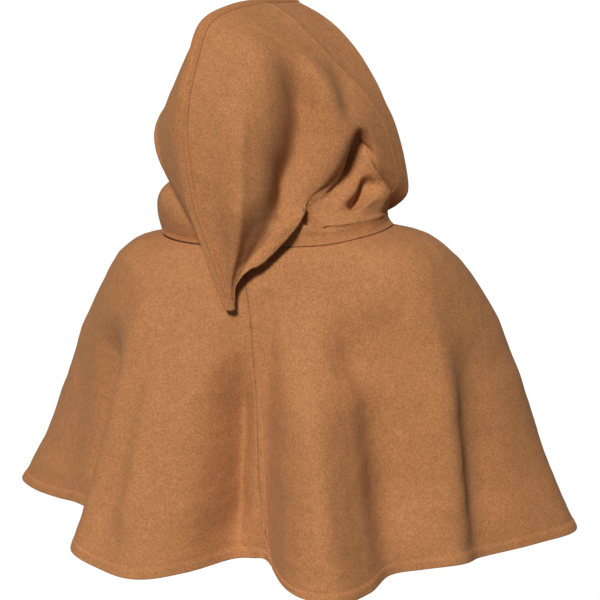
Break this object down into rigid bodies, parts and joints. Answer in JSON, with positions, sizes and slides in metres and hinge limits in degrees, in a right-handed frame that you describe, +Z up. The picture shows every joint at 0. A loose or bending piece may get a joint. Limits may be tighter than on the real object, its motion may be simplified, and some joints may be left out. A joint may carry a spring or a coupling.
{
  "type": "wool hood with shoulder cape",
  "caption": "Wool hood with a long peak falling down the back and a short folded shoulder cape, in the form it takes when worn.",
  "frame": {"origin": "the highest place of the crown's inner face, where the wearer's head carries the hood", "axes": "+Z up, -Y to the wearer's front, +X to the wearer's left"},
  "size_m": [0.7534, 0.5329, 0.6757],
  "materials": {
    "wool_cloth": "fulled camel wool with a short soft nap",
    "seam_cloth": "the same wool, pressed flat and stitched twice",
    "stitching": "matt sewing thread"
  },
  "bodies": {
    "root": {"hood_right": "wool_cloth", "hood_left": "wool_cloth", "cape_right": "wool_cloth", "cape_left": "wool_cloth", "face_hem_right": "wool_cloth", "face_hem_left": "wool_cloth", "cape_hem_right": "wool_cloth", "cape_hem_left": "wool_cloth", "crown_seam": "seam_cloth", "neck_seam_right": "seam_cloth", "neck_seam_left": "seam_cloth"}
  },
  "joints": []
}
